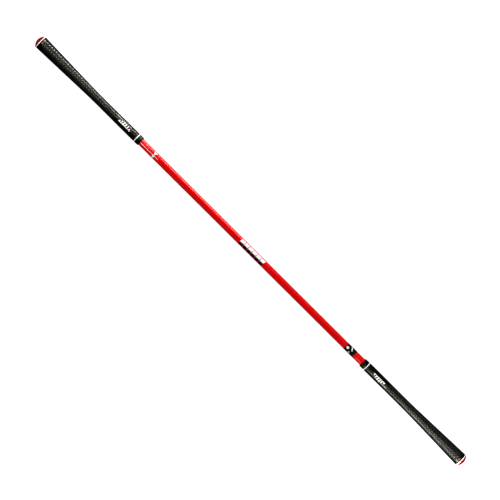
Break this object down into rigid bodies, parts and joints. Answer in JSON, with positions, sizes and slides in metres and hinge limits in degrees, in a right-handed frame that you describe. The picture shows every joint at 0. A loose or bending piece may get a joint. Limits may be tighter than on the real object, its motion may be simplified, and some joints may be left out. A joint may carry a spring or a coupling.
{
  "type": "swing trainer stick",
  "caption": "Straight golf swing trainer stick: a slim red lacquered tube with a tapered black rubber golf grip on each end, domed red caps and white trim rings.",
  "frame": {"origin": "on the stick's axis, halfway between the two end caps", "axes": "+X along the stick towards the right grip, the one beside the black band; +Z out of the side that carries the graphics"},
  "size_m": [1.143, 0.0266, 0.0266],
  "materials": {
    "shaft_lacquer": "bright red paint under clear gloss lacquer",
    "light_film": "white printed film under lacquer",
    "dark_film": "black printed film, half matt",
    "grip_rubber": "moulded rubber with a raised pattern of glossy diamonds between matt grooves",
    "cap_red": "smooth hard rubber with a soft gloss",
    "trim_white": "white moulded rubber and grip paint",
    "grip_tape": "crepe paper tape with adhesive on both faces"
  },
  "bodies": {
    "root": {"shaft_tube": "shaft_lacquer", "centre_row_light": "light_film", "centre_row_dark": "dark_film", "right_band": "dark_film", "right_band_lozenge": "light_film", "right_band_chevron": "light_film", "left_pinstripe": "light_film", "left_pennants": "light_film", "left_grip_sleeve": "grip_rubber", "right_grip_sleeve": "grip_rubber", "left_grip_cap": "cap_red", "right_grip_cap": "cap_red", "left_cap_ring": "trim_white", "right_cap_ring": "trim_white", "left_mouth_ring": "trim_white", "right_mouth_ring": "trim_white", "left_grip_badge": "trim_white", "right_grip_badge": "trim_white", "left_grip_tape": "grip_tape", "right_grip_tape": "grip_tape"}
  },
  "joints": []
}
